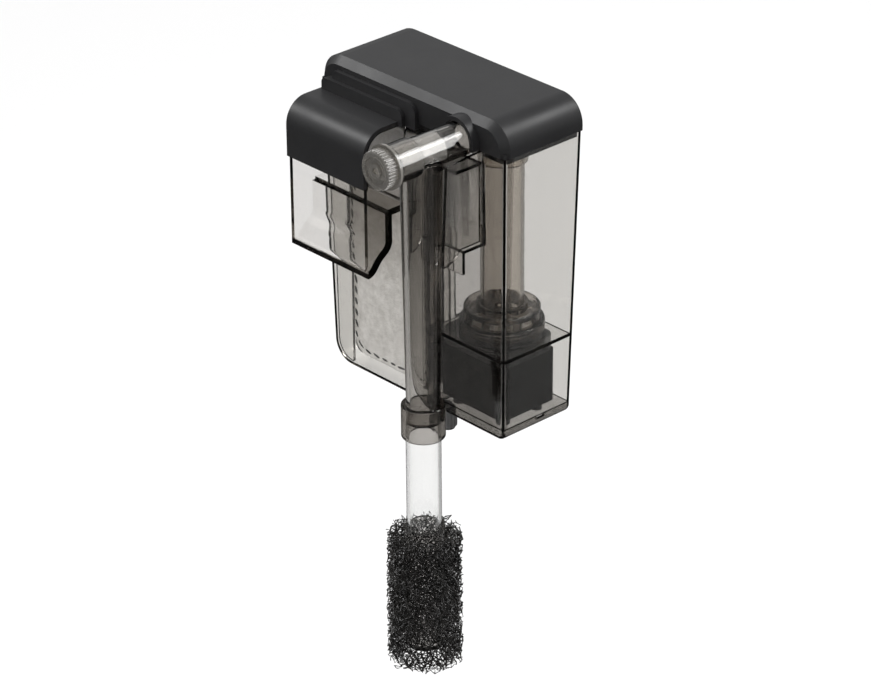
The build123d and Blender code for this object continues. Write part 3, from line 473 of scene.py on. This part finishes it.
plasticLooks = {
    "lidBlack": {**plasticBase, "dark": (0.020, 0.020, 0.021), "light": (0.026, 0.026, 0.027)},
    "frameBlack": {**plasticBase, "dark": (0.030, 0.030, 0.031), "light": (0.042, 0.042, 0.043)},
    "motorBlack": {
        **plasticBase, "dark": (0.003, 0.003, 0.003), "light": (0.006, 0.006, 0.006),
        "gloss": 0.5, "dull": 0.62, "ior": 1.25,
    },
    "glandGrey": {**plasticBase, "dark": (0.12, 0.12, 0.12), "light": (0.18, 0.18, 0.18)},
    "impellerWhite": {
        **plasticBase, "dark": (0.70, 0.70, 0.68), "light": (0.80, 0.80, 0.78),
        "gloss": 0.25, "dull": 0.35,
    },
    "sealRubber": {
        **plasticBase, "dark": (0.016, 0.016, 0.016), "light": (0.028, 0.028, 0.028),
        "gloss": 0.6, "dull": 0.75,
    },
    "shaftCeramic": {
        **plasticBase, "dark": (0.82, 0.81, 0.78), "light": (0.90, 0.89, 0.86),
        "gloss": 0.15, "dull": 0.25,
    },
    "magnetFerrite": {
        **plasticBase, "dark": (0.045, 0.045, 0.048), "light": (0.075, 0.075, 0.078),
        "gloss": 0.4, "dull": 0.5,
    },
    "coreSteel": {
        **plasticBase, "dark": (0.36, 0.36, 0.37), "light": (0.50, 0.50, 0.51),
        "gloss": 0.32, "dull": 0.5, "metal": 1.0,
    },
    "coilCopper": {
        **plasticBase, "dark": (0.55, 0.24, 0.10), "light": (0.72, 0.34, 0.16),
        "gloss": 0.25, "dull": 0.4, "metal": 1.0,
    },
    "carbonGrain": {
        **plasticBase, "dark": (0.010, 0.010, 0.010), "light": (0.035, 0.035, 0.036),
        "grain": 900, "gloss": 0.45, "dull": 0.8, "bump": 0.9, "depth": 0.0008,
    },
    "foamBlack": {
        **plasticBase, "dark": (0.002, 0.0018, 0.0017), "light": (0.026, 0.024, 0.022),
        "gloss": 0.15, "dull": 0.27,
    },
    "flossWhite": {
        **plasticBase, "dark": (0.58, 0.57, 0.56), "light": (0.98, 0.975, 0.97),
        "grain": 1500, "drift": 190, "gloss": 0.85, "dull": 0.95, "bump": 0.8, "depth": 0.0006,
    },
}

looks = {name: clearPlastic(name, look) for name, look in clearLooks.items()}
looks.update({name: solidPlastic(name, look) for name, look in plasticLooks.items()})

finishes = {
    "casingSmoke": ["casing"],
    "spoutSmoke": ["waterfall_spout"],
    "bracketSmoke": ["rim_bracket"],
    "innerSmoke": ["riser_elbow", "riser_tube"],
    "pumpSmoke": ["impeller_housing", "impeller_cover", "motor_cap"],
    "coverClear": ["bottom_cover"],
    "pipeSmoke": ["intake_pipe"],
    "tubeClear": ["extension_tube"],
    "strainerClear": ["strainer"],
    "knobClear": ["flow_knob"],
    "barrelMilky": ["valve_barrel"],
    "collarSmoke": ["intake_collar"],
    "lidBlack": ["lid"],
    "frameBlack": ["cartridge_frame"],
    "motorBlack": ["motor_housing"],
    "glandGrey": ["cord_gland"],
    "impellerWhite": ["impeller"],
    "sealRubber": [
        "knob_seal", "elbow_seal", "motor_pads", "housing_seal", "upper_bush", "lower_bush", "cord_grommet",
    ],
    "shaftCeramic": ["rotor_shaft"],
    "magnetFerrite": ["rotor_magnet"],
    "coreSteel": ["stator_core"],
    "coilCopper": ["stator_coil"],
    "carbonGrain": ["carbon_pack"],
    "flossWhite": ["floss_pad"],
    "foamBlack": ["foam_prefilter"],
}

for look, members in finishes.items():
    for member in members:
        for holder in nodes[member].material_slots:
            holder.material = looks[look]
print("materials ready:", len(looks))


foam = {
    "cell": 0.0038,          # spacing of the cells
    "jitter": 0.13,          # how far a joint strays, as a share of the cell
    "swirl": 0.0011,         # slow drift of the cells, in metres, and its wavelength
    "swirlLength": 0.009,
    "swirlTwist": 1.7,       # its second wave is this many times as long
    "tilt": (35, 25, 20),    # the packing's turn, in degrees
    "strut": 0.00026,        # half thickness at a joint
    "waist": 0.64,           # half thickness in the middle, as a share of that
    "sides": 4,
    "fray": 0.0005,          # how far loose ends stand out of the sleeve
    "slack": 1.02,           # neighbours are sought a little past a strut's length
    "seed": 11,
}


def foamCorners():
    # corners of the fourteen-sided cells in one cube of the packing, in cube sides
    corners = []
    for turn in range(3):
        for half in (0.25, 0.75):
            for swap in ((0, 0.5), (0.5, 0)):
                spot = [0, 0, 0]
                spot[turn] = half
                spot[(turn + 1) % 3] = swap[0]
                spot[(turn + 2) % 3] = swap[1]
                corners.append(spot)
    return np.array(corners)


def foamSkeleton(low, high, bore):
    # the packing is tilted, swirled and nudged at random, and kept where the sleeve is
    cell = foam["cell"]
    rng = np.random.RandomState(foam["seed"])
    centre = (low + high) / 2
    outer = (high.x - low.x) / 2
    span = int(math.ceil((high - low).length / 2 / cell)) + 1
    steps = np.arange(-span, span)
    cubes = np.stack(np.meshgrid(steps, steps, steps, indexing="ij"), -1).reshape(-1, 1, 3)
    packing = (cubes + foamCorners()[None]).reshape(-1, 3) * cell
    turn = Matrix.Identity(3)
    for angle, axis in zip(foam["tilt"], "XYZ"):
        turn = turn @ Matrix.Rotation(math.radians(angle), 3, axis)
    points = packing @ np.array(turn)
    drift = points * (2 * math.pi / foam["swirlLength"])
    bend = np.sin(drift[:, [2, 0, 1]] / foam["swirlTwist"])
    points = points + foam["swirl"] * np.sin(drift[:, [1, 2, 0]] + bend)
    points = points + rng.normal(0, foam["jitter"] * cell, points.shape) + np.array(centre)

    radius = np.hypot(points[:, 0] - centre.x, points[:, 1] - centre.y)
    margin = foam["strut"]
    fray = foam["fray"]
    keep = (radius < outer + fray) & (radius > bore + margin)
    keep &= (points[:, 2] > low.z - fray) & (points[:, 2] < high.z - margin)
    points, packing = points[keep], packing[keep]
    tree = kdtree.KDTree(len(packing))
    for index, point in enumerate(packing):
        tree.insert(point, index)
    tree.balance()
    reach = cell * math.sqrt(2) / 4 * foam["slack"]
    struts = []
    for index, point in enumerate(packing):
        for near in tree.find_range(point, reach):
            if near[1] > index:
                struts.append((index, near[1]))
    mesh = bpy.data.meshes.new("foamSkeleton")
    mesh.from_pydata(points.tolist(), struts, [])
    return mesh


def newGeometryTree(name, inputs):
    tree = bpy.data.node_groups.new(name, "GeometryNodeTree")
    tree.interface.new_socket("Geometry", in_out="INPUT", socket_type="NodeSocketGeometry")
    sockets = {}
    for label, (kind, value) in inputs.items():
        socket = tree.interface.new_socket(label, in_out="INPUT", socket_type=kind)
        if value is not None:
            socket.default_value = value
        sockets[label] = socket.identifier
    tree.interface.new_socket("Geometry", in_out="OUTPUT", socket_type="NodeSocketGeometry")
    return tree, tree.nodes.new("NodeGroupInput"), tree.nodes.new("NodeGroupOutput"), sockets


def endTree(tree, given, result, shape):
    real = tree.nodes.new("GeometryNodeRealizeInstances")
    paint = tree.nodes.new("GeometryNodeSetMaterial")
    tree.links.new(shape, real.inputs["Geometry"])
    tree.links.new(real.outputs["Geometry"], paint.inputs["Geometry"])
    tree.links.new(given.outputs["Material"], paint.inputs["Material"])
    tree.links.new(paint.outputs["Geometry"], result.inputs["Geometry"])


def strutTree():
    # turns every edge of a skeleton into a strut that is thinner in the middle
    tree, given, result, sockets = newGeometryTree("struts", {
        "Joint Radius": ("NodeSocketFloat", 0.0002),
        "Waist": ("NodeSocketFloat", 0.6),
        "Sides": ("NodeSocketInt", 3),
        "Material": ("NodeSocketMaterial", None),
    })
    line = tree.nodes.new("GeometryNodeMeshToCurve")
    halves = tree.nodes.new("GeometryNodeResampleCurve")
    halves.inputs["Count"].default_value = 3       # both joints and the waist
    along = tree.nodes.new("GeometryNodeSplineParameter")
    waist = tree.nodes.new("ShaderNodeFloatCurve")
    tree.links.new(given.outputs["Geometry"], line.inputs["Mesh"])
    tree.links.new(line.outputs["Curve"], halves.inputs["Curve"])
    curve = waist.mapping.curves[0]
    curve.points[0].location = (0, 1)
    curve.points[1].location = (1, 1)
    curve.points.new(0.5, 0)
    waist.mapping.update()
    tree.links.new(along.outputs["Factor"], waist.inputs["Value"])
    width = tree.nodes.new("ShaderNodeMapRange")
    tree.links.new(waist.outputs[0], width.inputs["Value"])
    tree.links.new(given.outputs["Waist"], width.inputs["To Min"])
    swell = tree.nodes.new("GeometryNodeSetCurveRadius")
    tree.links.new(halves.outputs["Curve"], swell.inputs["Curve"])
    tree.links.new(width.outputs["Result"], swell.inputs["Radius"])
    profile = tree.nodes.new("GeometryNodeCurvePrimitiveCircle")
    tree.links.new(given.outputs["Sides"], profile.inputs["Resolution"])
    tree.links.new(given.outputs["Joint Radius"], profile.inputs["Radius"])
    solid = tree.nodes.new("GeometryNodeCurveToMesh")
    solid.inputs["Fill Caps"].default_value = True
    tree.links.new(swell.outputs["Curve"], solid.inputs["Curve"])
    tree.links.new(profile.outputs["Curve"], solid.inputs["Profile Curve"])
    radius = tree.nodes.new("GeometryNodeInputRadius")
    tree.links.new(radius.outputs["Radius"], solid.inputs["Scale"])
    endTree(tree, given, result, solid.outputs["Mesh"])
    return tree, sockets


def bakeTree(name, mesh, tree, sockets, values):
    # runs a tree on a mesh and keeps the result as a plain mesh
    base = bpy.data.objects.new(name + "Base", mesh)
    bpy.context.collection.objects.link(base)
    modifier = base.modifiers.new("tree", "NODES")
    modifier.node_group = tree
    for label, value in values.items():
        modifier[sockets[label]] = value
    bpy.context.view_layer.update()
    grown = base.evaluated_get(bpy.context.evaluated_depsgraph_get())
    made = bpy.data.meshes.new_from_object(grown)
    base.modifiers.remove(modifier)
    bpy.data.objects.remove(base)
    made.name = name
    piece = bpy.data.objects.new(name, made)
    bpy.context.collection.objects.link(piece)
    return piece


def makeFoam():
    # the sleeve's cells, with the strainer's bore left open
    low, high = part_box("foam_prefilter")
    strainerLow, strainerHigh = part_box("strainer")
    bore = (strainerHigh.x - strainerLow.x) / 2
    skeleton = foamSkeleton(low, high, bore)
    tree, sockets = strutTree()
    piece = bakeTree("foam_cells", skeleton, tree, sockets, {
        "Joint Radius": foam["strut"],
        "Waist": foam["waist"],
        "Sides": foam["sides"],
        "Material": looks["foamBlack"],
    })
    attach(piece, "foam_sleeve")
    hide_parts("foam_prefilter")
    print("foam sleeve:", len(piece.data.polygons), "faces")


floss = {
    "columns": 72,
    "rows": 150,
    "corner": 10,            # the higher, the squarer the outline
    "pull": 0.010,           # how far the sides draw in between the corners, as a share,
    "footPull": 0.010 / 3,   # and the top and the foot
    "seamInset": 0.0019,     # the pressed seam's distance from the edge
    "seamShare": 0.42,       # thickness left in the seam, as a share
    "hemSwell": 0.18,        # the hem outside the seam puffs up by this share
    "shoulder": 0.0042,      # how soon the pad reaches its full thickness
    "lump": 0.00028,         # soft lumps, in metres, and their size
    "lumpSize": 0.0075,
    "fluff": 0.00011,        # fibre tufts, in metres, and their size
    "fluffSize": 0.0016,
}

# dark dashes along the pad's pressed seam, painted shadow for the gap between the frame and the pad
seam = {
    "pitch": 0.0056,         # from dash to dash
    "shortest": 0.0034,
    "longest": 0.0060,
    "width": 0.0014,
    "foot": 1.4,             # the lower run's distance from the edge, in insets of the sides
    "cut": 2.5,              # size of the cut corners, in the same
    "seed": 5,
}


def flossOutline(across, up, half, centre):
    # a place in the pad's outline, from -1..1 both ways, with its distance from the edge
    reach = max(abs(across), abs(up))
    power = floss["corner"]
    corner = (abs(across) ** power + abs(up) ** power) ** (1 / power)
    shrink = reach / corner if corner else 1
    x = across * shrink * (1 - floss["pull"] * (1 - up * up))
    z = up * shrink * (1 - floss["footPull"] * (1 - across * across))
    edge = min(half.x * (1 - abs(across)), half.z * (1 - abs(up)))
    return centre.x + half.x * x, centre.z + half.z * z, edge


def flossShare(edge):
    # how much of its full thickness the pad has at a distance from its edge
    inset, low = floss["seamInset"], floss["seamShare"]
    if edge < inset:
        return low + floss["hemSwell"] * math.sin(math.pi * edge / inset)
    return low + (1 - low) * (1 - math.exp(-(edge - inset) / floss["shoulder"]))


def padThickness(low, high):
    # what is left of the depth when lumps and tufts have their room
    return high.y - low.y - floss["lump"] - floss["fluff"]


def padShape(low, high):
    # a crowned front and a flat back on one grid, closed round the rim
    half, centre = (high - low) / 2, (high + low) / 2
    thickness = padThickness(low, high)
    shape = bmesh.new()
    front, back = [], []
    for row in range(floss["rows"] + 1):
        frontRow, backRow = [], []
        for column in range(floss["columns"] + 1):
            across = 2 * column / floss["columns"] - 1
            up = 2 * row / floss["rows"] - 1
            x, z, edge = flossOutline(across, up, half, centre)
            y = high.y - thickness * flossShare(edge)
            spot = Vector((x, y, z))
            rise = min(1, max(0, edge - floss["seamInset"]) / floss["shoulder"])
            y -= rise * floss["lump"] * noise.noise(spot / floss["lumpSize"])
            y -= rise * floss["fluff"] * noise.noise(spot / floss["fluffSize"])
            frontRow.append(shape.verts.new((x, y, z)))
            backRow.append(shape.verts.new((x, high.y, z)))
        front.append(frontRow)
        back.append(backRow)
    for side in (front, back):
        for lower, upper in zip(side, side[1:]):
            for a, b, c, d in zip(lower, lower[1:], upper[1:], upper):
                shape.faces.new((a, b, c, d))
    for rim, twin in (
        (front[0], back[0]), (front[-1], back[-1]),
        ([row[0] for row in front], [row[0] for row in back]),
        ([row[-1] for row in front], [row[-1] for row in back]),
    ):
        for a, b, c, d in zip(rim, rim[1:], twin[1:], twin):
            shape.faces.new((a, b, c, d))
    bmesh.ops.recalc_face_normals(shape, faces=shape.faces)
    mesh = bpy.data.meshes.new("floss_crown")
    shape.to_mesh(mesh)
    shape.free()
    mesh.shade_smooth()
    return mesh


def seamLine(low, high):
    # down one side of the pad, along its foot and up the other, with cut corners
    inset = floss["seamInset"]
    y = high.y - padThickness(low, high) * floss["seamShare"]
    left, right = low.x + inset, high.x - inset
    bottom, top = low.z + seam["foot"] * inset, high.z - inset
    stay = seam["cut"] * inset
    path = [
        (left, y, top - stay), (left, y, bottom + stay), (left + stay, y, bottom),
        (right - stay, y, bottom), (right, y, bottom + stay), (right, y, top - stay),
    ]
    line = bpy.data.meshes.new("seamLine")
    line.from_pydata(path, [(n, n + 1) for n in range(len(path) - 1)], [])
    return line


def dashTree():
    # dark dashes of uneven length along a line, painted as the shadow in the gap between the cartridge frame
    # and the pad
    tree, given, result, sockets = newGeometryTree("dashes", {
        "Pitch": ("NodeSocketFloat", 0.004),
        "Shortest": ("NodeSocketFloat", 0.002),
        "Longest": ("NodeSocketFloat", 0.004),
        "Width": ("NodeSocketFloat", 0.001),
        "Seed": ("NodeSocketInt", 1),
        "Material": ("NodeSocketMaterial", None),
    })
    line = tree.nodes.new("GeometryNodeMeshToCurve")
    spots = tree.nodes.new("GeometryNodeCurveToPoints")
    spots.mode = "LENGTH"
    tree.links.new(given.outputs["Geometry"], line.inputs["Mesh"])
    tree.links.new(line.outputs["Curve"], spots.inputs["Curve"])
    tree.links.new(given.outputs["Pitch"], spots.inputs["Length"])
    dash = tree.nodes.new("GeometryNodeMeshIcoSphere")
    dash.inputs["Radius"].default_value = 0.5      # one metre across, so its scale is its size
    dash.inputs["Subdivisions"].default_value = 2
    lengths = tree.nodes.new("FunctionNodeRandomValue")
    lengths.data_type = "FLOAT"
    smallest = next(s for s in lengths.inputs if s.name == "Min" and s.type == "VALUE")
    largest = next(s for s in lengths.inputs if s.name == "Max" and s.type == "VALUE")
    tree.links.new(given.outputs["Shortest"], smallest)
    tree.links.new(given.outputs["Longest"], largest)
    tree.links.new(given.outputs["Seed"], lengths.inputs["Seed"])
    drawn = next(s for s in lengths.outputs if s.type == "VALUE")
    size = tree.nodes.new("ShaderNodeCombineXYZ")
    tree.links.new(given.outputs["Width"], size.inputs["X"])
    tree.links.new(given.outputs["Width"], size.inputs["Y"])
    tree.links.new(drawn, size.inputs["Z"])
    put = tree.nodes.new("GeometryNodeInstanceOnPoints")
    tree.links.new(spots.outputs["Points"], put.inputs["Points"])
    tree.links.new(spots.outputs["Rotation"], put.inputs["Rotation"])
    tree.links.new(dash.outputs["Mesh"], put.inputs["Instance"])
    tree.links.new(size.outputs["Vector"], put.inputs["Scale"])
    endTree(tree, given, result, put.outputs["Instances"])
    return tree, sockets


def makeSeamShadow(low, high):
    tree, sockets = dashTree()
    # the dashes take the frame's black as painted shadow
    dashes = bakeTree("seam_dashes", seamLine(low, high), tree, sockets, {
        "Pitch": seam["pitch"],
        "Shortest": seam["shortest"],
        "Longest": seam["longest"],
        "Width": seam["width"],
        "Seed": seam["seed"],
        "Material": looks["frameBlack"],
    })
    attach(dashes, "cartridge")
    print("floss seam:", len(dashes.data.polygons), "faces")


def makeFloss():
    low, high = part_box("floss_pad")
    mesh = padShape(low, high)
    mesh.materials.append(looks["flossWhite"])
    pad = bpy.data.objects.new("floss_crown", mesh)
    bpy.context.collection.objects.link(pad)
    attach(pad, "cartridge")
    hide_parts("floss_pad")
    print("floss pad:", len(mesh.polygons), "faces")
    makeSeamShadow(low, high)


makeFoam()
makeFloss()
addSoftboxes()
